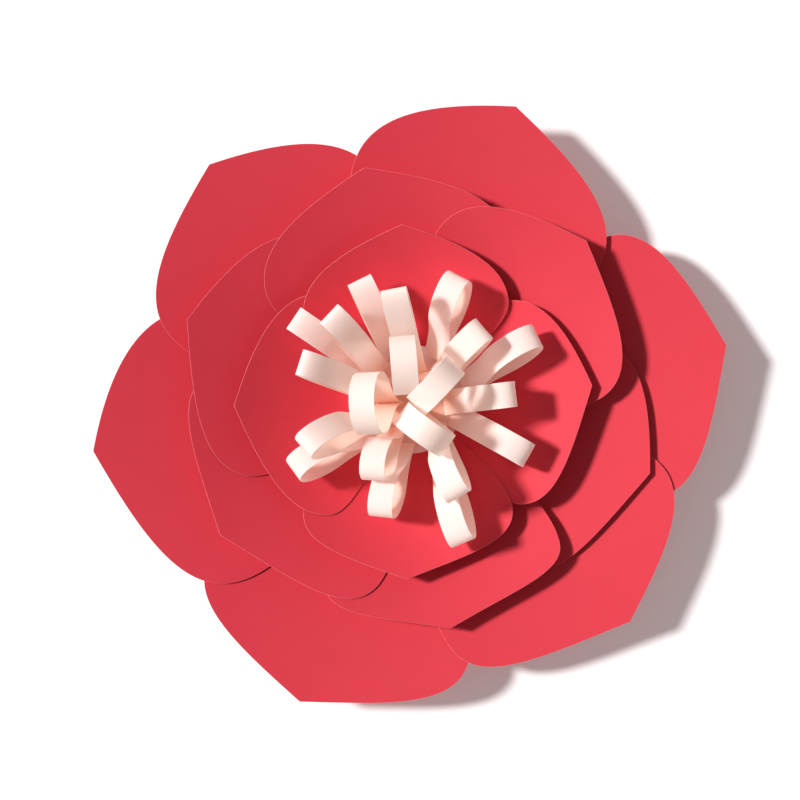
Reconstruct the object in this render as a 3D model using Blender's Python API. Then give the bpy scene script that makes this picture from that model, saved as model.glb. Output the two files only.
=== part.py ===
"""A giant wall flower made of cut card: a round backing card, three rings of petals and a bunch of
looped paper strips glued to a small pad in the middle. It lies on its back, face up, +Y to its top.
Every length is in millimetres, and MM turns it into metres as a mesh is made."""
import math

import bpy
import numpy as np

MM = 0.001

# The card that the petals and the loops are cut from.
CARD = 0.3
SEAT_GAP = 0.35

# The round backing card that the outer petals are glued to.
BACKING_RADIUS = 50.0
BACKING_THICKNESS = 1.5
BACKING_SIDES = 48

# One step of the pile: each petal that is glued over another starts this much higher.
PILE_STEP = 0.95
PILE_SPREAD = 0.003      # how much the step grows for each millimetre from the middle
PILE_SLACK = 0.1         # how much of its step a petal gives up where a higher one presses it down
PRESS_BLEND = 0.15       # rounding of the line where that pressing begins

# How a petal's outline runs: from a blunt tip, round a broad shoulder, down to a narrow foot.
TIP_DROP = math.radians(19.5)
TIP_PULL = 0.60
SHOULDER_PULL = 0.46
WAIST_PULL = 0.35
FOOT_PULL = 0.18
FOOT_FLARE = 0.30

# How far the petals of each ring reach from the middle.
FLOWER_RADIUS = 200.0
MIDDLE_RADIUS = 0.75 * FLOWER_RADIUS
INNER_RADIUS = 0.56 * FLOWER_RADIUS

# Each ring: its reach, half a petal's width and the depth of its shoulder below the tip as shares of
# that reach, where its feet end, half a foot, where its floor ends and its rise begins, the slope of
# that rise, how high its sides are cupped, and how far its tip curls back.
RINGS = {
    "outer": {
        "reach": FLOWER_RADIUS, "half": 0.44, "shoulder": 0.325, "foot_start": 24.0, "foot_half": 20.0,
        "floor": 40.0, "slope": 0.205, "cup": 1.5, "curl": 0.5,
    },
    "middle": {
        "reach": MIDDLE_RADIUS, "half": 0.52, "shoulder": 0.367, "foot_start": 18.0, "foot_half": 17.0,
        "floor": 41.0, "slope": 0.335, "cup": 1.0, "curl": 0.3,
    },
    "inner": {
        "reach": INNER_RADIUS, "half": 0.60, "shoulder": 0.44, "foot_start": 12.0, "foot_half": 13.0,
        "floor": 42.0, "slope": 0.460, "cup": 0.5, "curl": 0.2,
    },
}
RISE_ROUNDING = 10.0
CURL_START = 0.62        # share of the reach where the tip starts to curl back
SLOPE_REACH = 0.5        # how far to each side a petal's slope is measured

# Each petal: name, place in the pile, azimuth of the tip, share of its ring's reach, turn of the foot,
# shares of its ring's half width on the anticlockwise and on the clockwise side, and share of the depth
# of the shoulder.
PETALS = {
    "outer": [
        ("outer_petal_1", 3, 70.3, 0.983, 3.3, 0.92, 1.01, 1.05),
        ("outer_petal_2", 0, 9.7, 1.014, -0.6, 0.93, 0.99, 0.90),
        ("outer_petal_3", 1, -45.5, 0.990, 2.3, 0.93, 1.09, 0.92),
        ("outer_petal_4", 0, -110.2, 1.022, 1.5, 1.03, 0.99, 0.91),
        ("outer_petal_5", 1, 189.3, 1.020, -0.4, 1.11, 0.90, 1.12),
        ("outer_petal_6", 2, 130.7, 0.980, 1.8, 1.00, 0.90, 1.04),
    ],
    "middle": [
        ("middle_petal_1", 6, 101.4, 0.989, -0.9, 1.00, 1.03, 1.13),
        ("middle_petal_2", 7, 42.1, 0.989, -1.0, 0.90, 1.02, 1.00),
        ("middle_petal_3", 2, -17.3, 1.059, 3.6, 0.86, 1.10, 0.96),
        ("middle_petal_4", 3, -80.2, 0.979, -1.0, 1.00, 0.94, 0.72),
        ("middle_petal_5", 4, -144.5, 0.985, -2.7, 1.12, 1.09, 0.97),
        ("middle_petal_6", 5, 160.5, 0.997, -2.9, 1.08, 0.93, 1.10),
    ],
    "inner": [
        ("inner_petal_1", 11, 93.1, 0.981, -0.6, 0.98, 0.96, 1.07),
        ("inner_petal_2", 8, 4.3, 1.020, 0.9, 0.85, 1.08, 0.97),
        ("inner_petal_3", 9, -91.4, 1.012, -2.4, 1.01, 0.96, 0.84),
        ("inner_petal_4", 10, 182.2, 0.995, -1.1, 1.08, 1.01, 1.14),
    ],
}
PETAL_ROWS = 12
PETAL_COLUMNS = 8

# The pad that the loops are glued to, on top of the inner feet.
PAD_RADIUS = 35.0
PAD_THICKNESS = 1.0
PAD_SIDES = 36
PILE_LEVELS = 1 + max(petal[1] for ring_petals in PETALS.values() for petal in ring_petals)
PAD_LIFT = 1.2

# A loop: a strip bent back on itself into a long drop, its two ends glued together on the pad.
STRIP_WIDTH = 16.0
LOOP_WIDEST = 0.70       # share of the length at which a loop is fattest
LOOP_CLOSED = 0.45       # the wall's handles: how long it stays closed, and where it swells
LOOP_SWELL = 0.42
BUNCH_CENTRE = (0.0, -2.0)
WALL_POINTS = 5
NOSE_POINTS = 3

# The tiers of the bunch: how far from the middle a loop's foot stands, its length and its full fatness.
TIERS = {
    "low": {"stand": 31.0, "length": 66.0, "fatness": 20.0},
    "middle": {"stand": 22.0, "length": 72.0, "fatness": 19.0},
    "centre": {"stand": 12.5, "length": 75.0, "fatness": 35.0},
}

# Each loop: name, tier, azimuth of its foot, share of its tier's stand, azimuth that it points to,
# share of the length, elevation, roll about its own length, and share of the fatness.
LOOPS = [
    ("loop_01", "low", 141.6, 1.07, 146.0, 1.03, 33.8, 0.0, 0.85),
    ("loop_02", "low", 109.7, 1.01, 115.0, 0.94, 34.2, 2.5, 0.90),
    ("loop_03", "low", 61.5, 1.03, 75.0, 0.97, 36.2, -23.1, 1.10),
    ("loop_04", "low", 17.2, 1.11, 35.0, 0.99, 33.3, -18.5, 1.15),
    ("loop_05", "low", -15.8, 0.90, -29.0, 0.98, 36.2, -0.7, 1.10),
    ("loop_06", "low", -56.3, 1.02, -77.0, 1.12, 32.5, 20.1, 1.05),
    ("loop_07", "low", -100.7, 0.87, -108.0, 0.86, 35.8, 22.5, 1.09),
    ("loop_08", "low", -141.0, 0.99, -156.0, 0.96, 30.8, 25.0, 1.17),
    ("loop_09", "middle", 135.9, 1.21, 131.0, 1.01, 50.3, 8.0, 0.89),
    ("loop_10", "middle", 83.6, 0.87, 105.0, 1.14, 52.0, -5.3, 0.91),
    ("loop_11", "middle", 40.2, 1.10, 50.0, 0.89, 54.0, -11.5, 1.05),
    ("loop_12", "middle", -1.1, 0.97, 7.4, 0.86, 47.3, -0.8, 1.08),
    ("loop_13", "middle", -47.3, 1.03, -73.0, 0.98, 54.0, 17.3, 1.11),
    ("loop_14", "middle", -122.0, 0.87, -117.3, 0.81, 58.0, 28.0, 1.21),
    ("loop_15", "middle", -155.7, 1.00, -160.0, 1.08, 52.0, 27.5, 1.16),
    ("loop_16", "middle", 164.5, 0.97, 158.1, 1.17, 54.0, 5.8, 0.95),
    ("loop_17", "centre", 182.0, 1.00, 180.6, 0.98, 76.0, 92.0, 1.09),
    ("loop_18", "centre", 102.0, 1.04, 98.5, 1.02, 79.0, -4.0, 1.01),
    ("loop_19", "centre", 34.3, 1.28, 35.0, 0.98, 87.5, 11.0, 1.01),
    ("loop_20", "centre", -68.1, 0.91, -57.4, 0.98, 82.0, 22.0, 1.01),
]

RED = (0.88, 0.055, 0.085)
PINK = (0.97, 0.78, 0.72)
KRAFT = (0.52, 0.36, 0.22)


def clear_scene():
    for obj in list(bpy.data.objects):
        bpy.data.objects.remove(obj, do_unlink=True)


def make_material(name, colour, roughness):
    material = bpy.data.materials.new(name)
    material.use_nodes = True
    shader = material.node_tree.nodes["Principled BSDF"]
    shader.inputs["Base Color"].default_value = (*colour, 1.0)
    shader.inputs["Roughness"].default_value = roughness
    shader.inputs["Metallic"].default_value = 0.0
    return material


def add_object(name, points, smooth, flat, material):
    """One closed body, with its smooth faces and then its flat ones."""
    mesh = bpy.data.meshes.new(name)
    mesh.from_pydata([tuple(float(c) * MM for c in p) for p in points], [], smooth + flat)
    mesh.materials.append(material)
    for index, polygon in enumerate(mesh.polygons):
        polygon.use_smooth = index < len(smooth)
    obj = bpy.data.objects.new(name, mesh)
    bpy.context.scene.collection.objects.link(obj)


def bezier(a, b, c, d, t):
    """Points of a cubic curve at the shares t of its run."""
    t = np.asarray(t, float)[:, None]
    a, b, c, d = (np.array(p, float) for p in (a, b, c, d))
    return (1 - t) ** 3 * a + 3 * (1 - t) ** 2 * t * b + 3 * (1 - t) * t ** 2 * c + t ** 3 * d


def half_outline(width, depth, length, foot_half, rows):
    """One side of a petal from just below its tip to its foot, as (sideways, down from the tip)."""
    upper_rows = rows // 2
    upper = bezier(
        (0.0, 0.0),
        (TIP_PULL * width * math.cos(TIP_DROP), TIP_PULL * width * math.sin(TIP_DROP)),
        (width, depth * (1 - SHOULDER_PULL)),
        (width, depth),
        np.arange(1, upper_rows + 1) / upper_rows,
    )
    drop = length - depth
    lower = bezier(
        (width, depth),
        (width, depth + WAIST_PULL * drop),
        (foot_half + FOOT_FLARE * (width - foot_half), length - FOOT_PULL * drop),
        (foot_half, length),
        np.arange(1, rows - upper_rows + 1) / (rows - upper_rows),
    )
    return np.vstack([upper, lower])


def petal_sizes(ring, petal):
    """The petal's reach, its half widths on both sides and the depth of its shoulder."""
    _, _, _, far, _, left, right, deep = petal
    shape = RINGS[ring]
    half = shape["half"] * shape["reach"]
    return far * shape["reach"], left * half, right * half, deep * shape["shoulder"] * shape["reach"]


def petal_plan(ring, petal, rows, columns):
    """The petal seen from above: its tip, then one line of points across it for each row."""
    _, _, azimuth, _, turn, _, _, _ = petal
    shape = RINGS[ring]
    reach, left_half, right_half, depth = petal_sizes(ring, petal)
    length = reach - shape["foot_start"]
    left = half_outline(left_half, depth, length, shape["foot_half"], rows)
    right = half_outline(right_half, depth, length, shape["foot_half"], rows)
    out = math.radians(azimuth)
    tip = reach * np.array([math.cos(out), math.sin(out)])
    back = out + math.pi - math.radians(turn)
    down = np.array([math.cos(back), math.sin(back)])
    side = np.array([down[1], -down[0]])
    share = np.linspace(0.0, 1.0, columns + 1)[None, :, None]
    left_points = tip + left[:, :1] * side + left[:, 1:] * down
    right_points = tip - right[:, :1] * side + right[:, 1:] * down
    return tip, left_points[:, None, :] * (1 - share) + right_points[:, None, :] * share


def ramp(distance, rounding):
    """Zero before a corner, then the distance past it, with the corner rounded."""
    return 0.5 * (distance + np.sqrt(distance ** 2 + rounding ** 2))


def rise(radius, floor):
    """How far out a point lies past the floor of its ring, and nothing at the middle."""
    return ramp(radius - floor, RISE_ROUNDING) - ramp(-floor, RISE_ROUNDING)


def step_height(radius):
    return PILE_STEP + PILE_SPREAD * rise(radius, BACKING_RADIUS)


def free_height(ring, petal, x, y):
    """The height of the underside of a petal that nothing presses on."""
    _, level, azimuth, _, _, _, _, _ = petal
    shape = RINGS[ring]
    reach, left_half, right_half, _ = petal_sizes(ring, petal)
    out = math.radians(azimuth)
    radius = np.hypot(x, y)
    along = x * math.cos(out) + y * math.sin(out)
    across = y * math.cos(out) - x * math.sin(out)
    half = np.where(across > 0, left_half, right_half)
    curl = ramp(along - CURL_START * reach, RISE_ROUNDING) / ((1 - CURL_START) * reach)
    return (
        BACKING_THICKNESS + SEAT_GAP
        + level * step_height(radius)
        + shape["slope"] * rise(radius, shape["floor"])
        + shape["cup"] * (across / half) ** 2
        - shape["curl"] * curl ** 2
    )


def soft_min(a, b):
    low = np.minimum(a, b)
    return low - PRESS_BLEND * np.log(np.exp((low - a) / PRESS_BLEND) + np.exp((low - b) / PRESS_BLEND))


def petal_height(name, x, y):
    """The underside of the named petal at x, y, pressed down by each petal higher in the pile."""
    order = sorted(
        ((petal[1], ring, petal) for ring, petals in PETALS.items() for petal in petals),
        key=lambda item: -item[0],
    )
    ceiling = np.full(np.shape(x), np.inf)
    lowest = ceiling
    level_now = None
    spacing = step_height(np.hypot(x, y)) - PILE_SLACK
    for level, ring, petal in order:
        if level != level_now:
            ceiling = lowest - spacing
            level_now = level
        height = free_height(ring, petal, x, y)
        if np.all(np.isfinite(ceiling)):
            height = soft_min(height, ceiling)
        if petal[0] == name:
            return height
        lowest = np.minimum(lowest, height)
    raise ValueError(name)


def sheet_normals(name, x, y):
    """Upward normals of the petal, from its height a little to each side."""
    dx = petal_height(name, x + SLOPE_REACH, y) - petal_height(name, x - SLOPE_REACH, y)
    dy = petal_height(name, x, y + SLOPE_REACH) - petal_height(name, x, y - SLOPE_REACH)
    normals = np.stack([-dx, -dy, np.full_like(dx, 2 * SLOPE_REACH)], axis=-1)
    return normals / np.linalg.norm(normals, axis=-1, keepdims=True)


def petal_faces(rows, columns, bend):
    """Faces of the top and the underside, then of the cut edge. Point 0 is the tip of the top side.
    Each square is split along its less bent diagonal, the same one on both sides."""
    count = 1 + rows * (columns + 1)

    def top(row, column):
        return 1 + row * (columns + 1) + column

    def under(index):
        return index + count

    faces = []
    for column in range(columns):
        faces.append((0, top(0, column), top(0, column + 1)))
    for row in range(rows - 1):
        for column in range(columns):
            a, b = top(row, column), top(row + 1, column)
            c, d = top(row + 1, column + 1), top(row, column + 1)
            if bend(a, c) < bend(b, d):
                faces += [(a, b, c), (a, c, d)]
            else:
                faces += [(a, b, d), (b, c, d)]
    faces += [tuple(under(i) for i in reversed(face)) for face in faces]
    rim = [0] + [top(row, 0) for row in range(rows)]
    rim += [top(rows - 1, column) for column in range(1, columns + 1)]
    rim += [top(row, columns) for row in range(rows - 2, -1, -1)]
    edge = [(under(here), under(there), there, here) for here, there in zip(rim, rim[1:] + rim[:1])]
    return faces, edge


def add_petal(ring, petal, material):
    tip, grid = petal_plan(ring, petal, PETAL_ROWS, PETAL_COLUMNS)
    plan = np.vstack([tip[None, :], grid.reshape(-1, 2)])
    x, y = plan[:, 0], plan[:, 1]
    under = np.column_stack([x, y, petal_height(petal[0], x, y)])
    top = under + CARD * sheet_normals(petal[0], x, y)

    def bend(here, there):
        """How far the sheet lies from the straight line between two of its points."""
        middle = (under[here] + under[there]) / 2
        return abs(petal_height(petal[0], middle[0], middle[1]) - middle[2])

    faces, edge = petal_faces(PETAL_ROWS, PETAL_COLUMNS, bend)
    add_object(petal[0], np.vstack([top, under]), faces, edge, material)


def add_disc(name, radius, bottom, thickness, sides, material):
    turn = 2 * math.pi / sides
    ring = [(radius * math.cos(i * turn), radius * math.sin(i * turn)) for i in range(sides)]
    points = [(x, y, bottom) for x, y in ring] + [(x, y, bottom + thickness) for x, y in ring]
    caps = [tuple(reversed(range(sides))), tuple(range(sides, 2 * sides))]
    edge = []
    for i in range(sides):
        j = (i + 1) % sides
        edge.append((i, j, j + sides, i + sides))
    add_object(name, points, edge, caps, material)


def loop_profile(length, fatness, wall_points, nose_points):
    """The middle line of a strip seen from its edge: out along one wall, round the nose and back."""
    half = fatness / 2
    foot = (CARD + SEAT_GAP) / 2
    widest = LOOP_WIDEST * length
    wall = bezier(
        (0.0, foot), (LOOP_CLOSED * length, foot), (LOOP_SWELL * length, half), (widest, half),
        np.arange(wall_points) / wall_points,
    )
    turn = np.linspace(0.0, math.pi / 2, nose_points + 1)
    nose = np.column_stack([widest + (length - widest) * np.sin(turn), half * np.cos(turn)])
    upper = np.vstack([wall, nose])
    return np.vstack([upper, upper[-2::-1] * [1.0, -1.0]])


def loop_frame(azimuth, elevation, roll):
    """The directions along a loop, across its strip and across its fatness."""
    a, e, r = (math.radians(v) for v in (azimuth, elevation, roll))
    along = np.array([math.cos(a) * math.cos(e), math.sin(a) * math.cos(e), math.sin(e)])
    level = np.array([-math.sin(a), math.cos(a), 0.0])
    front = np.cross(along, level)
    return along, math.cos(r) * level + math.sin(r) * front, math.cos(r) * front - math.sin(r) * level


def pad_bottom():
    return BACKING_THICKNESS + SEAT_GAP + PILE_LEVELS * PILE_STEP + PAD_LIFT


def loop_mesh(loop, wall_points, nose_points):
    """A loop's points, the faces of its paper and the faces of its cut edges."""
    _, tier, foot_azimuth, stand, azimuth, length, elevation, roll, fatness = loop
    size = TIERS[tier]
    along, across, front = loop_frame(azimuth, elevation, roll)
    line = loop_profile(length * size["length"], fatness * size["fatness"], wall_points, nose_points)
    run = np.gradient(line, axis=0)
    run /= np.linalg.norm(run, axis=1, keepdims=True)
    outward = np.column_stack([-run[:, 1], run[:, 0]])
    a = math.radians(foot_azimuth)
    foot = np.array([
        BUNCH_CENTRE[0] + stand * size["stand"] * math.cos(a),
        BUNCH_CENTRE[1] + stand * size["stand"] * math.sin(a),
        pad_bottom() + PAD_THICKNESS + SEAT_GAP + foot_drop(elevation, roll),
    ])
    rings = []
    for side, edge in ((1, -1), (1, 1), (-1, 1), (-1, -1)):
        flat = line + side * outward * CARD / 2
        rings.append(foot + flat[:, :1] * along + flat[:, 1:] * front + edge * across * STRIP_WIDTH / 2)
    points = np.stack(rings, axis=1).reshape(-1, 3)
    count = len(line)

    def stretch(i):
        j = (i + 1) % 4
        return [(4 * k + i, 4 * (k + 1) + i, 4 * (k + 1) + j, 4 * k + j) for k in range(count - 1)]

    ends = [(0, 1, 2, 3), tuple(4 * (count - 1) + i for i in (3, 2, 1, 0))]
    return points, stretch(0) + stretch(2), stretch(1) + stretch(3) + ends


def foot_drop(elevation, roll):
    """How far the lowest corner of a loop's foot hangs below its middle."""
    _, across, front = loop_frame(0.0, elevation, roll)
    return abs(across[2]) * STRIP_WIDTH / 2 + abs(front[2]) * (CARD + SEAT_GAP / 2)


def add_loop(loop, material):
    points, walls, edges = loop_mesh(loop, WALL_POINTS, NOSE_POINTS)
    add_object(loop[0], points, walls, edges, material)


def main():
    clear_scene()
    red = make_material("red_card", RED, 0.75)
    pink = make_material("pale_pink_paper", PINK, 0.75)
    kraft = make_material("backing_card", KRAFT, 0.85)
    add_disc("backing_card", BACKING_RADIUS, 0.0, BACKING_THICKNESS, BACKING_SIDES, kraft)
    for ring, petals in PETALS.items():
        for petal in petals:
            add_petal(ring, petal, red)
    add_disc("loop_pad", PAD_RADIUS, pad_bottom(), PAD_THICKNESS, PAD_SIDES, pink)
    for loop in LOOPS:
        add_loop(loop, pink)


main()
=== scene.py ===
"""The looks of the giant paper flower: each petal and each loop again from the same formulas as the
frame, with finer rows and a rounded cut edge, in coloured card and paper, on a white surface.
Lengths are in millimetres, and MM turns them into metres as a mesh is made."""
import math

import bpy
import numpy as np
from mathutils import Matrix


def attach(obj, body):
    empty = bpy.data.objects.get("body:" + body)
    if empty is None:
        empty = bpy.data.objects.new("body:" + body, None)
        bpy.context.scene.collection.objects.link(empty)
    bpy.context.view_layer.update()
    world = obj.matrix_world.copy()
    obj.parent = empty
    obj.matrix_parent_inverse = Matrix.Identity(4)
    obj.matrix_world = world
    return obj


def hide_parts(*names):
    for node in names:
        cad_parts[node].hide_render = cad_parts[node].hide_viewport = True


MM = 0.001

# The card and the pile, as in the frame.
CARD = 0.3
SEAT_GAP = 0.35
BACKING_RADIUS = 50.0
BACKING_THICKNESS = 1.5
PILE_STEP = 0.95
PILE_SPREAD = 0.003
PILE_SLACK = 0.1
PRESS_BLEND = 0.15

# How a petal's outline runs: from a blunt tip, round a broad shoulder, down to a narrow foot.
TIP_DROP = math.radians(19.5)
TIP_PULL = 0.60
SHOULDER_PULL = 0.46
WAIST_PULL = 0.35
FOOT_PULL = 0.18
FOOT_FLARE = 0.30

# How far the petals of each ring reach from the middle.
FLOWER_RADIUS = 200.0
MIDDLE_RADIUS = 0.75 * FLOWER_RADIUS
INNER_RADIUS = 0.56 * FLOWER_RADIUS

# Each ring: its reach, half a petal's width and the depth of its shoulder below the tip as shares of
# that reach, where its feet end, half a foot, where its floor ends and its rise begins, the slope of
# that rise, how high its sides are cupped, and how far its tip curls back.
RINGS = {
    "outer": {
        "reach": FLOWER_RADIUS, "half": 0.44, "shoulder": 0.325, "foot_start": 24.0, "foot_half": 20.0,
        "floor": 40.0, "slope": 0.205, "cup": 1.5, "curl": 0.5,
    },
    "middle": {
        "reach": MIDDLE_RADIUS, "half": 0.52, "shoulder": 0.367, "foot_start": 18.0, "foot_half": 17.0,
        "floor": 41.0, "slope": 0.335, "cup": 1.0, "curl": 0.3,
    },
    "inner": {
        "reach": INNER_RADIUS, "half": 0.60, "shoulder": 0.44, "foot_start": 12.0, "foot_half": 13.0,
        "floor": 42.0, "slope": 0.460, "cup": 0.5, "curl": 0.2,
    },
}
RISE_ROUNDING = 10.0
CURL_START = 0.62
SLOPE_REACH = 0.5

# Each petal: name, place in the pile, azimuth of the tip, share of its ring's reach, turn of the foot,
# shares of its ring's half width on the anticlockwise and on the clockwise side, and share of the depth
# of the shoulder.
PETALS = {
    "outer": [
        ("outer_petal_1", 3, 70.3, 0.983, 3.3, 0.92, 1.01, 1.05),
        ("outer_petal_2", 0, 9.7, 1.014, -0.6, 0.93, 0.99, 0.90),
        ("outer_petal_3", 1, -45.5, 0.990, 2.3, 0.93, 1.09, 0.92),
        ("outer_petal_4", 0, -110.2, 1.022, 1.5, 1.03, 0.99, 0.91),
        ("outer_petal_5", 1, 189.3, 1.020, -0.4, 1.11, 0.90, 1.12),
        ("outer_petal_6", 2, 130.7, 0.980, 1.8, 1.00, 0.90, 1.04),
    ],
    "middle": [
        ("middle_petal_1", 6, 101.4, 0.989, -0.9, 1.00, 1.03, 1.13),
        ("middle_petal_2", 7, 42.1, 0.989, -1.0, 0.90, 1.02, 1.00),
        ("middle_petal_3", 2, -17.3, 1.059, 3.6, 0.86, 1.10, 0.96),
        ("middle_petal_4", 3, -80.2, 0.979, -1.0, 1.00, 0.94, 0.72),
        ("middle_petal_5", 4, -144.5, 0.985, -2.7, 1.12, 1.09, 0.97),
        ("middle_petal_6", 5, 160.5, 0.997, -2.9, 1.08, 0.93, 1.10),
    ],
    "inner": [
        ("inner_petal_1", 11, 93.1, 0.981, -0.6, 0.98, 0.96, 1.07),
        ("inner_petal_2", 8, 4.3, 1.020, 0.9, 0.85, 1.08, 0.97),
        ("inner_petal_3", 9, -91.4, 1.012, -2.4, 1.01, 0.96, 0.84),
        ("inner_petal_4", 10, 182.2, 0.995, -1.1, 1.08, 1.01, 1.14),
    ],
}
PETAL_ROWS = 56
PETAL_COLUMNS = 40

# The pad that the loops are glued to, on top of the inner feet.
PAD_RADIUS = 35.0
PAD_THICKNESS = 1.0
PILE_LEVELS = 1 + max(petal[1] for ring_petals in PETALS.values() for petal in ring_petals)
PAD_LIFT = 1.2
DISC_SIDES = 144
DISC_RINGS = 6

# A loop: a strip bent back on itself into a long drop, its two ends glued together on the pad.
STRIP_WIDTH = 16.0
LOOP_WIDEST = 0.70
LOOP_CLOSED = 0.45
LOOP_SWELL = 0.42
BUNCH_CENTRE = (0.0, -2.0)
WALL_POINTS = 30
NOSE_POINTS = 14

# The tiers of the bunch: how far from the middle a loop's foot stands, its length and its full fatness.
TIERS = {
    "low": {"stand": 31.0, "length": 66.0, "fatness": 20.0},
    "middle": {"stand": 22.0, "length": 72.0, "fatness": 19.0},
    "centre": {"stand": 12.5, "length": 75.0, "fatness": 35.0},
}

# Each loop: name, tier, azimuth of its foot, share of its tier's stand, azimuth that it points to,
# share of the length, elevation, roll about its own length, and share of the fatness.
LOOPS = [
    ("loop_01", "low", 141.6, 1.07, 146.0, 1.03, 33.8, 0.0, 0.85),
    ("loop_02", "low", 109.7, 1.01, 115.0, 0.94, 34.2, 2.5, 0.90),
    ("loop_03", "low", 61.5, 1.03, 75.0, 0.97, 36.2, -23.1, 1.10),
    ("loop_04", "low", 17.2, 1.11, 35.0, 0.99, 33.3, -18.5, 1.15),
    ("loop_05", "low", -15.8, 0.90, -29.0, 0.98, 36.2, -0.7, 1.10),
    ("loop_06", "low", -56.3, 1.02, -77.0, 1.12, 32.5, 20.1, 1.05),
    ("loop_07", "low", -100.7, 0.87, -108.0, 0.86, 35.8, 22.5, 1.09),
    ("loop_08", "low", -141.0, 0.99, -156.0, 0.96, 30.8, 25.0, 1.17),
    ("loop_09", "middle", 135.9, 1.21, 131.0, 1.01, 50.3, 8.0, 0.89),
    ("loop_10", "middle", 83.6, 0.87, 105.0, 1.14, 52.0, -5.3, 0.91),
    ("loop_11", "middle", 40.2, 1.10, 50.0, 0.89, 54.0, -11.5, 1.05),
    ("loop_12", "middle", -1.1, 0.97, 7.4, 0.86, 47.3, -0.8, 1.08),
    ("loop_13", "middle", -47.3, 1.03, -73.0, 0.98, 54.0, 17.3, 1.11),
    ("loop_14", "middle", -122.0, 0.87, -117.3, 0.81, 58.0, 28.0, 1.21),
    ("loop_15", "middle", -155.7, 1.00, -160.0, 1.08, 52.0, 27.5, 1.16),
    ("loop_16", "middle", 164.5, 0.97, 158.1, 1.17, 54.0, 5.8, 0.95),
    ("loop_17", "centre", 182.0, 1.00, 180.6, 0.98, 76.0, 92.0, 1.09),
    ("loop_18", "centre", 102.0, 1.04, 98.5, 1.02, 79.0, -4.0, 1.01),
    ("loop_19", "centre", 34.3, 1.28, 35.0, 0.98, 87.5, 11.0, 1.01),
    ("loop_20", "centre", -68.1, 0.91, -57.4, 0.98, 82.0, 22.0, 1.01),
]

# The rounding that a blade leaves along a cut edge.
EDGE_ROUNDING = 0.14
EDGE_SEGMENTS = 2
EDGE_ANGLE = math.radians(40)
EDGE_GROUP = 1

# Colours, as linear red, green and blue.
RED = (0.70, 0.032, 0.055)
RED_EDGE = (0.97, 0.30, 0.31)
PINK = (1.0, 0.99, 0.98)
# The inside colour is painted shade on the loops' inner sides: the same paper as outside, drawn a deeper
# peach because the insides lie in shade; partly it is the paper's own light pink.
PINK_INSIDE_PAINTED_SHADE = (1.0, 0.72, 0.58)
# The deep colour is painted shade where the loops crowd together at their feet, partly the paper's own
# light pink.
PINK_PAINTED_SHADE = (1.0, 0.62, 0.46)
PINK_EDGE = (0.98, 0.92, 0.90)
KRAFT = (0.46, 0.30, 0.18)
KRAFT_EDGE = (0.55, 0.39, 0.26)
FLOOR = (0.95, 0.95, 0.95)

# How rough the card and the paper are, and how strongly they shine. Their colour strays by
# COLOUR_RANGE, FIBRE_SHARE of it with short fibres and the rest with clouds, both counted to the metre.
# FIBRE_HEIGHT is how proud the fibres stand, and FIBRE_BUMP the share of it that shows.
PAPER_ROUGHNESS = 0.75
EDGE_ROUGHNESS = 0.8
KRAFT_ROUGHNESS = 0.85
ROUGHNESS_RANGE = 0.06
CARD_SHEEN = 0.45
CLOUD_SCALE = 45.0
CLOUD_DETAIL = 3.0
FIBRE_SCALE = 1900.0
FIBRE_DETAIL = 4.0
FIBRE_STRETCH = 0.35
FIBRE_SHARE = 0.55
COLOUR_RANGE = 0.08
FIBRE_BUMP = 0.35
FIBRE_HEIGHT = 0.06

# How the fibres of one petal are shifted and turned against those of the next in its ring.
PETAL_SHIFT = 0.31
SHIFT_SLANT = 0.37
SHIFT_TURN = 2.4

# The share of the light that goes through the loops' paper, and its colour. The paper's colour fades
# from painted shade at the loops' feet, where they crowd together, to pale at their tips.
THROUGH_SHARE = 0.5
THROUGH_COLOUR = (1.0, 0.98, 0.96)
FADE_START = 15.0
FADE_END = 44.0

# The camera stands square over the flower. The photo's frame is FRAME_WIDTH wide at FRAME_HEIGHT
# above the surface, and its middle lies a little left of the flower's.
FRAME_WIDTH = 508.0
FRAME_HEIGHT = 33.0
FRAME_MIDDLE = (-7.0, -0.6)
CAMERA_DISTANCE = 1150.0
SENSOR_WIDTH = 36.0

# One soft key light from the left, a little above, and an even fill from all round. The surface is
# seen a little lifted and warmer than it is lit.
KEY_AZIMUTH = 165.0
KEY_ELEVATION = 42.0
KEY_STRENGTH = 3.95
KEY_ANGLE = 8.0
FILL_LEVEL = 0.18
LIGHT_BOUNCES = 16
FLOOR_SIZE = 12000.0
FLOOR_ROUGHNESS = 0.9
FLOOR_SHEEN = 0.1
FLOOR_GRAIN = 300.0
FLOOR_DETAIL = 3.0
FLOOR_RANGE = 0.005
FLOOR_DROP = 0.2
FLOOR_LIFT = 0.21
FLOOR_LIFT_COLOUR = (1.0, 0.72, 0.72)


def bezier(a, b, c, d, t):
    """Points of a cubic curve at the shares t of its run."""
    t = np.asarray(t, float)[:, None]
    a, b, c, d = (np.array(p, float) for p in (a, b, c, d))
    return (1 - t) ** 3 * a + 3 * (1 - t) ** 2 * t * b + 3 * (1 - t) * t ** 2 * c + t ** 3 * d


def half_outline(width, depth, length, foot_half, rows):
    """One side of a petal from just below its tip to its foot, as (sideways, down from the tip)."""
    upper_rows = rows // 2
    upper = bezier(
        (0.0, 0.0),
        (TIP_PULL * width * math.cos(TIP_DROP), TIP_PULL * width * math.sin(TIP_DROP)),
        (width, depth * (1 - SHOULDER_PULL)),
        (width, depth),
        np.arange(1, upper_rows + 1) / upper_rows,
    )
    drop = length - depth
    lower = bezier(
        (width, depth),
        (width, depth + WAIST_PULL * drop),
        (foot_half + FOOT_FLARE * (width - foot_half), length - FOOT_PULL * drop),
        (foot_half, length),
        np.arange(1, rows - upper_rows + 1) / (rows - upper_rows),
    )
    return np.vstack([upper, lower])


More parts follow.
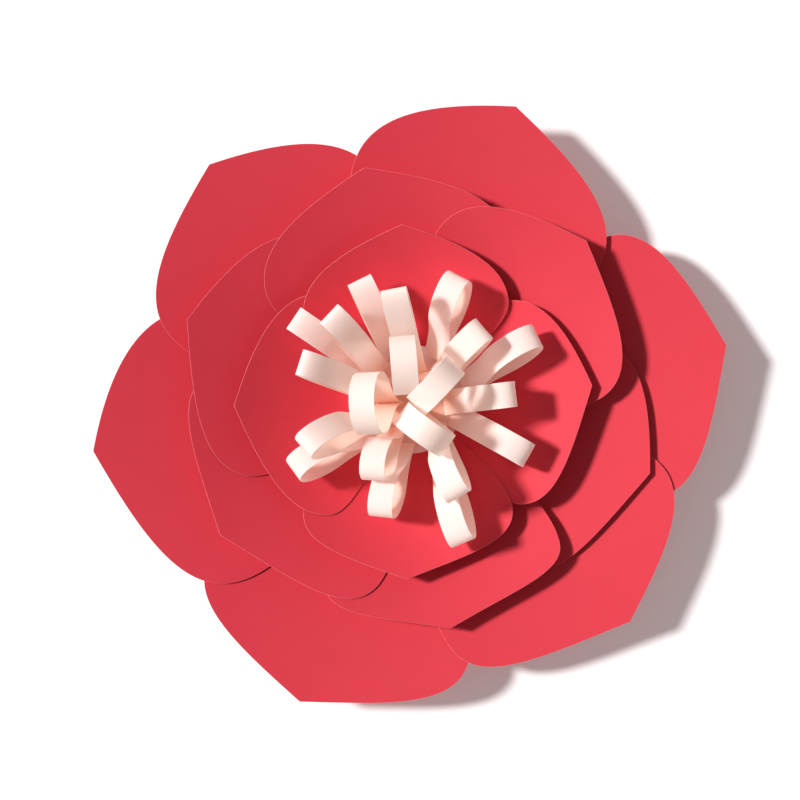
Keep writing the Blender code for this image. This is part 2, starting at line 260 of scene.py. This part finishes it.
def petal_sizes(ring, petal):
    """The petal's reach, its half widths on both sides and the depth of its shoulder."""
    _, _, _, far, _, left, right, deep = petal
    shape = RINGS[ring]
    half = shape["half"] * shape["reach"]
    return far * shape["reach"], left * half, right * half, deep * shape["shoulder"] * shape["reach"]


def petal_plan(ring, petal):
    """The petal seen from above: its tip, then one line of points across it for each row."""
    _, _, azimuth, _, turn, _, _, _ = petal
    shape = RINGS[ring]
    reach, left_half, right_half, depth = petal_sizes(ring, petal)
    length = reach - shape["foot_start"]
    left = half_outline(left_half, depth, length, shape["foot_half"], PETAL_ROWS)
    right = half_outline(right_half, depth, length, shape["foot_half"], PETAL_ROWS)
    out = math.radians(azimuth)
    tip = reach * np.array([math.cos(out), math.sin(out)])
    back = out + math.pi - math.radians(turn)
    down = np.array([math.cos(back), math.sin(back)])
    side = np.array([down[1], -down[0]])
    share = np.linspace(0.0, 1.0, PETAL_COLUMNS + 1)[None, :, None]
    left_points = tip + left[:, :1] * side + left[:, 1:] * down
    right_points = tip - right[:, :1] * side + right[:, 1:] * down
    return tip, left_points[:, None, :] * (1 - share) + right_points[:, None, :] * share


def ramp(distance, rounding):
    """Zero before a corner, then the distance past it, with the corner rounded."""
    return 0.5 * (distance + np.sqrt(distance ** 2 + rounding ** 2))


def rise(radius, floor):
    """How far out a point lies past the floor of its ring, and nothing at the middle."""
    return ramp(radius - floor, RISE_ROUNDING) - ramp(-floor, RISE_ROUNDING)


def step_height(radius):
    return PILE_STEP + PILE_SPREAD * rise(radius, BACKING_RADIUS)


def free_height(ring, petal, x, y):
    """The height of the underside of a petal that nothing presses on."""
    _, level, azimuth, _, _, _, _, _ = petal
    shape = RINGS[ring]
    reach, left_half, right_half, _ = petal_sizes(ring, petal)
    out = math.radians(azimuth)
    radius = np.hypot(x, y)
    along = x * math.cos(out) + y * math.sin(out)
    across = y * math.cos(out) - x * math.sin(out)
    half = np.where(across > 0, left_half, right_half)
    curl = ramp(along - CURL_START * reach, RISE_ROUNDING) / ((1 - CURL_START) * reach)
    return (
        BACKING_THICKNESS + SEAT_GAP
        + level * step_height(radius)
        + shape["slope"] * rise(radius, shape["floor"])
        + shape["cup"] * (across / half) ** 2
        - shape["curl"] * curl ** 2
    )


def soft_min(a, b):
    low = np.minimum(a, b)
    return low - PRESS_BLEND * np.log(np.exp((low - a) / PRESS_BLEND) + np.exp((low - b) / PRESS_BLEND))


def petal_height(name, x, y):
    """The underside of the named petal at x, y, pressed down by each petal higher in the pile."""
    order = sorted(
        ((petal[1], ring, petal) for ring, petals in PETALS.items() for petal in petals),
        key=lambda item: -item[0],
    )
    ceiling = np.full(np.shape(x), np.inf)
    lowest = ceiling
    level_now = None
    spacing = step_height(np.hypot(x, y)) - PILE_SLACK
    for level, ring, petal in order:
        if level != level_now:
            ceiling = lowest - spacing
            level_now = level
        height = free_height(ring, petal, x, y)
        if np.all(np.isfinite(ceiling)):
            height = soft_min(height, ceiling)
        if petal[0] == name:
            return height
        lowest = np.minimum(lowest, height)
    raise ValueError(name)


def sheet_normals(name, x, y):
    """Upward normals of the petal, from its height a little to each side."""
    dx = petal_height(name, x + SLOPE_REACH, y) - petal_height(name, x - SLOPE_REACH, y)
    dy = petal_height(name, x, y + SLOPE_REACH) - petal_height(name, x, y - SLOPE_REACH)
    normals = np.stack([-dx, -dy, np.full_like(dx, 2 * SLOPE_REACH)], axis=-1)
    return normals / np.linalg.norm(normals, axis=-1, keepdims=True)


def make_piece(name, points, groups, materials):
    """One piece of the flower in place of its node, with a group of faces for each of its materials.
    The second group is the cut edge."""
    mesh = bpy.data.meshes.new(name + "_card")
    mesh.from_pydata([tuple(float(c) * MM for c in p) for p in points], [], sum(groups, []))
    start = 0
    for index, (group, material) in enumerate(zip(groups, materials)):
        mesh.materials.append(material)
        for polygon in mesh.polygons[start:start + len(group)]:
            polygon.use_smooth = index != EDGE_GROUP
            polygon.material_index = index
        start += len(group)
    obj = bpy.data.objects.new(name + "_card", mesh)
    bpy.context.scene.collection.objects.link(obj)
    rounding = obj.modifiers.new("cut edge", "BEVEL")
    rounding.width = EDGE_ROUNDING * MM
    rounding.segments = EDGE_SEGMENTS
    rounding.limit_method = "ANGLE"
    rounding.angle_limit = EDGE_ANGLE
    rounding.material = EDGE_GROUP
    rounding.harden_normals = True
    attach(obj, "root")
    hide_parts(name)
    return obj


def petal_faces():
    """Faces of the top and the underside, then of the cut edge. Point 0 is the tip of the top side."""
    rows, columns = PETAL_ROWS, PETAL_COLUMNS
    count = 1 + rows * (columns + 1)

    def top(row, column):
        return 1 + row * (columns + 1) + column

    faces = []
    for column in range(columns):
        faces.append((0, top(0, column), top(0, column + 1)))
    for row in range(rows - 1):
        for column in range(columns):
            left, right = column, column + 1
            faces.append((top(row, left), top(row + 1, left), top(row + 1, right), top(row, right)))
    faces += [tuple(i + count for i in reversed(face)) for face in faces]
    rim = [0] + [top(row, 0) for row in range(rows)]
    rim += [top(rows - 1, column) for column in range(1, columns + 1)]
    rim += [top(row, columns) for row in range(rows - 2, -1, -1)]
    edge = [(here + count, there + count, there, here) for here, there in zip(rim, rim[1:] + rim[:1])]
    return faces, edge


def add_petal(ring, petal, materials):
    tip, grid = petal_plan(ring, petal)
    plan = np.vstack([tip[None, :], grid.reshape(-1, 2)])
    x, y = plan[:, 0], plan[:, 1]
    under = np.column_stack([x, y, petal_height(petal[0], x, y)])
    top = under + CARD * sheet_normals(petal[0], x, y)
    make_piece(petal[0], np.vstack([top, under]), petal_faces(), materials)


def add_disc(name, radius, bottom, thickness, materials):
    """A round card from rings of points, with a cut edge."""
    turn = 2 * math.pi * np.arange(DISC_SIDES) / DISC_SIDES
    layers = []
    for height in (bottom + thickness, bottom):
        layers.append([[0.0, 0.0, height]])
        for ring in range(1, DISC_RINGS + 1):
            reach = radius * ring / DISC_RINGS
            level = np.full(DISC_SIDES, height)
            layers.append(np.column_stack([reach * np.cos(turn), reach * np.sin(turn), level]))
    points = np.vstack(layers)
    count = 1 + DISC_RINGS * DISC_SIDES
    faces = []
    for i in range(DISC_SIDES):
        j = (i + 1) % DISC_SIDES
        faces.append((0, 1 + i, 1 + j))
        for ring in range(DISC_RINGS - 1):
            near = 1 + ring * DISC_SIDES
            far = near + DISC_SIDES
            faces.append((near + i, far + i, far + j, near + j))
    faces += [tuple(i + count for i in reversed(face)) for face in faces]
    outer = 1 + (DISC_RINGS - 1) * DISC_SIDES
    edge = []
    for i in range(DISC_SIDES):
        j = (i + 1) % DISC_SIDES
        edge.append((outer + i + count, outer + j + count, outer + j, outer + i))
    make_piece(name, points, (faces, edge), materials)


def loop_profile(length, fatness):
    """The middle line of a strip seen from its edge: out along one wall, round the nose and back."""
    half = fatness / 2
    foot = (CARD + SEAT_GAP) / 2
    widest = LOOP_WIDEST * length
    wall = bezier(
        (0.0, foot), (LOOP_CLOSED * length, foot), (LOOP_SWELL * length, half), (widest, half),
        np.arange(WALL_POINTS) / WALL_POINTS,
    )
    turn = np.linspace(0.0, math.pi / 2, NOSE_POINTS + 1)
    nose = np.column_stack([widest + (length - widest) * np.sin(turn), half * np.cos(turn)])
    upper = np.vstack([wall, nose])
    return np.vstack([upper, upper[-2::-1] * [1.0, -1.0]])


def loop_frame(azimuth, elevation, roll):
    """The directions along a loop, across its strip and across its fatness."""
    a, e, r = (math.radians(v) for v in (azimuth, elevation, roll))
    along = np.array([math.cos(a) * math.cos(e), math.sin(a) * math.cos(e), math.sin(e)])
    level = np.array([-math.sin(a), math.cos(a), 0.0])
    front = np.cross(along, level)
    return along, math.cos(r) * level + math.sin(r) * front, math.cos(r) * front - math.sin(r) * level


def foot_drop(elevation, roll):
    """How far the lowest corner of a loop's foot hangs below its middle."""
    _, across, front = loop_frame(0.0, elevation, roll)
    return abs(across[2]) * STRIP_WIDTH / 2 + abs(front[2]) * (CARD + SEAT_GAP / 2)


def pad_bottom():
    return BACKING_THICKNESS + SEAT_GAP + PILE_LEVELS * PILE_STEP + PAD_LIFT


def add_loop(loop, materials):
    name, tier, foot_azimuth, stand, azimuth, length, elevation, roll, fatness = loop
    size = TIERS[tier]
    along, across, front = loop_frame(azimuth, elevation, roll)
    line = loop_profile(length * size["length"], fatness * size["fatness"])
    run = np.gradient(line, axis=0)
    run /= np.linalg.norm(run, axis=1, keepdims=True)
    outward = np.column_stack([-run[:, 1], run[:, 0]])
    a = math.radians(foot_azimuth)
    foot = np.array([
        BUNCH_CENTRE[0] + stand * size["stand"] * math.cos(a),
        BUNCH_CENTRE[1] + stand * size["stand"] * math.sin(a),
        pad_bottom() + PAD_THICKNESS + SEAT_GAP + foot_drop(elevation, roll),
    ])
    rings = []
    for side, edge in ((1, -1), (1, 1), (-1, 1), (-1, -1)):
        flat = line + side * outward * CARD / 2
        rings.append(foot + flat[:, :1] * along + flat[:, 1:] * front + edge * across * STRIP_WIDTH / 2)
    points = np.stack(rings, axis=1).reshape(-1, 3)
    count = len(line)

    def stretch(i):
        j = (i + 1) % 4
        return [(4 * k + i, 4 * (k + 1) + i, 4 * (k + 1) + j, 4 * k + j) for k in range(count - 1)]

    ends = [(0, 1, 2, 3), tuple(4 * (count - 1) + i for i in (3, 2, 1, 0))]
    groups = (stretch(0), stretch(1) + stretch(3) + ends, stretch(2))
    make_piece(name, points, groups, materials)


def new_material(name):
    material = bpy.data.materials.new(name)
    material.use_nodes = True
    tree = material.node_tree
    return material, tree, tree.nodes["Principled BSDF"]


def add_noise(tree, vector, scale, detail):
    noise = tree.nodes.new("ShaderNodeTexNoise")
    noise.inputs["Scale"].default_value = scale
    noise.inputs["Detail"].default_value = detail
    tree.links.new(vector, noise.inputs["Vector"])
    return noise.outputs["Fac"]


def blend_colours(tree, share, low, high):
    mix = tree.nodes.new("ShaderNodeMix")
    mix.data_type = "RGBA"
    tree.links.new(share, mix.inputs["Factor"])
    mix.inputs["A"].default_value = (*low, 1.0)
    mix.inputs["B"].default_value = (*high, 1.0)
    return mix.outputs["Result"]


def shade(colour, level):
    return tuple(min(1.0, c * level) for c in colour)


def paper_material(name, colour, shift, roughness):
    """Uncoated card: cloudy colour, short fibres that stand a few hundredths of a millimetre proud."""
    material, tree, shader = new_material(name)
    place = tree.nodes.new("ShaderNodeTexCoord")
    turn = tree.nodes.new("ShaderNodeMapping")
    turn.inputs["Location"].default_value = (shift, SHIFT_SLANT * shift, 0.0)
    turn.inputs["Rotation"].default_value = (0.0, 0.0, SHIFT_TURN * shift)
    turn.inputs["Scale"].default_value = (1.0, FIBRE_STRETCH, 1.0)
    tree.links.new(place.outputs["Object"], turn.inputs["Vector"])
    cloud = add_noise(tree, place.outputs["Object"], CLOUD_SCALE, CLOUD_DETAIL)
    fibre = add_noise(tree, turn.outputs["Vector"], FIBRE_SCALE, FIBRE_DETAIL)
    both = tree.nodes.new("ShaderNodeMix")
    both.inputs["Factor"].default_value = FIBRE_SHARE
    tree.links.new(cloud, both.inputs["A"])
    tree.links.new(fibre, both.inputs["B"])
    low, high = shade(colour, 1 - COLOUR_RANGE), shade(colour, 1 + COLOUR_RANGE)
    tinted = blend_colours(tree, both.outputs["Result"], low, high)
    tree.links.new(tinted, shader.inputs["Base Color"])
    rough = tree.nodes.new("ShaderNodeMapRange")
    rough.inputs["To Min"].default_value = roughness - ROUGHNESS_RANGE
    rough.inputs["To Max"].default_value = roughness + ROUGHNESS_RANGE
    tree.links.new(fibre, rough.inputs["Value"])
    tree.links.new(rough.outputs["Result"], shader.inputs["Roughness"])
    bump = tree.nodes.new("ShaderNodeBump")
    bump.inputs["Strength"].default_value = FIBRE_BUMP
    bump.inputs["Distance"].default_value = FIBRE_HEIGHT * MM
    tree.links.new(fibre, bump.inputs["Height"])
    tree.links.new(bump.outputs["Normal"], shader.inputs["Normal"])
    shader.inputs["Specular IOR Level"].default_value = CARD_SHEEN
    return material


def fade_from_foot(tree, place):
    """A share that grows along the loops, from nothing near their feet to one toward their tips."""
    away = tree.nodes.new("ShaderNodeVectorMath")
    away.operation = "DISTANCE"
    away.inputs[1].default_value = (BUNCH_CENTRE[0] * MM, BUNCH_CENTRE[1] * MM, pad_bottom() * MM)
    tree.links.new(place, away.inputs[0])
    fade = tree.nodes.new("ShaderNodeMapRange")
    fade.interpolation_type = "SMOOTHSTEP"
    fade.inputs["From Min"].default_value = FADE_START * MM
    fade.inputs["From Max"].default_value = FADE_END * MM
    tree.links.new(away.outputs["Value"], fade.inputs["Value"])
    return fade.outputs["Result"]


def thin_paper_material(name, colour, deep):
    """The loops' paper: fibres as in the card, painted shade fading along the loop, and light through it.
    """
    material = paper_material(name, colour, 0.0, PAPER_ROUGHNESS)
    tree = material.node_tree
    shader = tree.nodes["Principled BSDF"]
    pale = shader.inputs["Base Color"].links[0].from_socket
    place = tree.nodes.new("ShaderNodeTexCoord").outputs["Object"]
    fade = tree.nodes.new("ShaderNodeMix")
    fade.data_type = "RGBA"
    # deep is painted shade, drawn at the loops' feet and fading toward their tips.
    fade.inputs["A"].default_value = (*deep, 1.0)
    tree.links.new(fade_from_foot(tree, place), fade.inputs["Factor"])
    tree.links.new(pale, fade.inputs["B"])
    tree.links.new(fade.outputs["Result"], shader.inputs["Base Color"])
    through = tree.nodes.new("ShaderNodeBsdfTranslucent")
    through.inputs["Color"].default_value = (*THROUGH_COLOUR, 1.0)
    both = tree.nodes.new("ShaderNodeMixShader")
    both.inputs["Fac"].default_value = THROUGH_SHARE
    tree.links.new(shader.outputs["BSDF"], both.inputs[1])
    tree.links.new(through.outputs["BSDF"], both.inputs[2])
    tree.links.new(both.outputs["Shader"], tree.nodes["Material Output"].inputs["Surface"])
    return material


def floor_material():
    """A matt white surface that the camera sees a little lifted, as an overexposed wall."""
    material, tree, shader = new_material("white_surface")
    place = tree.nodes.new("ShaderNodeTexCoord")
    grain = add_noise(tree, place.outputs["Object"], FLOOR_GRAIN, FLOOR_DETAIL)
    tinted = blend_colours(tree, grain, shade(FLOOR, 1 - FLOOR_RANGE), shade(FLOOR, 1 + FLOOR_RANGE))
    tree.links.new(tinted, shader.inputs["Base Color"])
    shader.inputs["Roughness"].default_value = FLOOR_ROUGHNESS
    shader.inputs["Specular IOR Level"].default_value = FLOOR_SHEEN
    shader.inputs["Emission Color"].default_value = (*FLOOR_LIFT_COLOUR, 1.0)
    lift = tree.nodes.new("ShaderNodeMath")
    lift.operation = "MULTIPLY"
    lift.inputs[1].default_value = FLOOR_LIFT
    tree.links.new(tree.nodes.new("ShaderNodeLightPath").outputs["Is Camera Ray"], lift.inputs[0])
    tree.links.new(lift.outputs["Value"], shader.inputs["Emission Strength"])
    return material


def add_floor():
    half = FLOOR_SIZE / 2 * MM
    level = -FLOOR_DROP * MM
    mesh = bpy.data.meshes.new("surface")
    corners = [(-half, -half, level), (half, -half, level), (half, half, level), (-half, half, level)]
    mesh.from_pydata(corners, [], [(0, 1, 2, 3)])
    mesh.materials.append(floor_material())
    floor = bpy.data.objects.new("surface", mesh)
    bpy.context.scene.collection.objects.link(floor)


def add_camera():
    data = bpy.data.cameras.new("camera")
    data.sensor_width = SENSOR_WIDTH
    data.lens = data.sensor_width * CAMERA_DISTANCE / FRAME_WIDTH
    camera = bpy.data.objects.new("camera", data)
    camera.location = (FRAME_MIDDLE[0] * MM, FRAME_MIDDLE[1] * MM, (FRAME_HEIGHT + CAMERA_DISTANCE) * MM)
    bpy.context.scene.collection.objects.link(camera)
    bpy.context.scene.camera = camera


def add_sun(name, azimuth, elevation, strength, angle):
    data = bpy.data.lights.new(name, "SUN")
    data.energy = strength
    data.angle = math.radians(angle)
    lamp = bpy.data.objects.new(name, data)
    lamp.rotation_euler = (0.0, math.radians(90.0 - elevation), math.radians(azimuth))
    bpy.context.scene.collection.objects.link(lamp)


def add_fill():
    """An even pale world, which shows as white to the camera and in anything that shines."""
    world = bpy.data.worlds.new("fill")
    world.use_nodes = True
    tree = world.node_tree
    background = tree.nodes["Background"]
    background.inputs["Color"].default_value = (1.0, 1.0, 1.0, 1.0)
    path = tree.nodes.new("ShaderNodeLightPath")
    seen = path.outputs["Is Camera Ray"]
    for other in ("Is Glossy Ray", "Is Transmission Ray"):
        either = tree.nodes.new("ShaderNodeMath")
        either.operation = "MAXIMUM"
        tree.links.new(seen, either.inputs[0])
        tree.links.new(path.outputs[other], either.inputs[1])
        seen = either.outputs["Value"]
    level = tree.nodes.new("ShaderNodeMapRange")
    level.inputs["To Min"].default_value = FILL_LEVEL
    level.inputs["To Max"].default_value = 1.0
    tree.links.new(seen, level.inputs["Value"])
    tree.links.new(level.outputs["Result"], background.inputs["Strength"])
    bpy.context.scene.world = world


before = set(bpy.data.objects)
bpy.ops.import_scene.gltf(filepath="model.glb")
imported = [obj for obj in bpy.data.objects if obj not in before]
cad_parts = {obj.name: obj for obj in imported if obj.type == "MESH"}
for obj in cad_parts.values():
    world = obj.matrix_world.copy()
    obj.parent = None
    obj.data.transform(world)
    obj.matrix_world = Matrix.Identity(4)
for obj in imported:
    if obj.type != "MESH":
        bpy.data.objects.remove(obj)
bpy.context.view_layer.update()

red_edge = paper_material("red_card_edge", RED_EDGE, 0.0, EDGE_ROUGHNESS)
for ring_name, ring_petals in PETALS.items():
    for number, row in enumerate(ring_petals):
        red = paper_material(row[0] + "_red", RED, PETAL_SHIFT * number, PAPER_ROUGHNESS)
        add_petal(ring_name, row, [red, red_edge])

# Both sides of the loops fade into painted shade at their feet.
pink = thin_paper_material("pale_pink_paper_outside", PINK, PINK_PAINTED_SHADE)
# The inner sides of the loops get painted shade, a deeper peach than the outside of the same paper.
pink_inside_painted_shade = thin_paper_material("pale_pink_paper_inside_painted_shade", PINK_INSIDE_PAINTED_SHADE, PINK_PAINTED_SHADE)
pink_edge = paper_material("pale_pink_paper_edge", PINK_EDGE, 0.0, EDGE_ROUGHNESS)
for row in LOOPS:
    add_loop(row, [pink, pink_edge, pink_inside_painted_shade])
add_disc("loop_pad", PAD_RADIUS, pad_bottom(), PAD_THICKNESS, [pink, pink_edge])

kraft = paper_material("brown_card", KRAFT, 0.0, KRAFT_ROUGHNESS)
kraft_edge = paper_material("brown_card_edge", KRAFT_EDGE, 0.0, KRAFT_ROUGHNESS)
add_disc("backing_card", BACKING_RADIUS, 0.0, BACKING_THICKNESS, [kraft, kraft_edge])

add_floor()
add_camera()
add_sun("key", KEY_AZIMUTH, KEY_ELEVATION, KEY_STRENGTH, KEY_ANGLE)
add_fill()
bpy.context.scene.cycles.max_bounces = LIGHT_BOUNCES
bpy.context.scene.cycles.diffuse_bounces = LIGHT_BOUNCES
bpy.context.scene.cycles.transmission_bounces = LIGHT_BOUNCES
bpy.context.scene.view_settings.view_transform = "Standard"
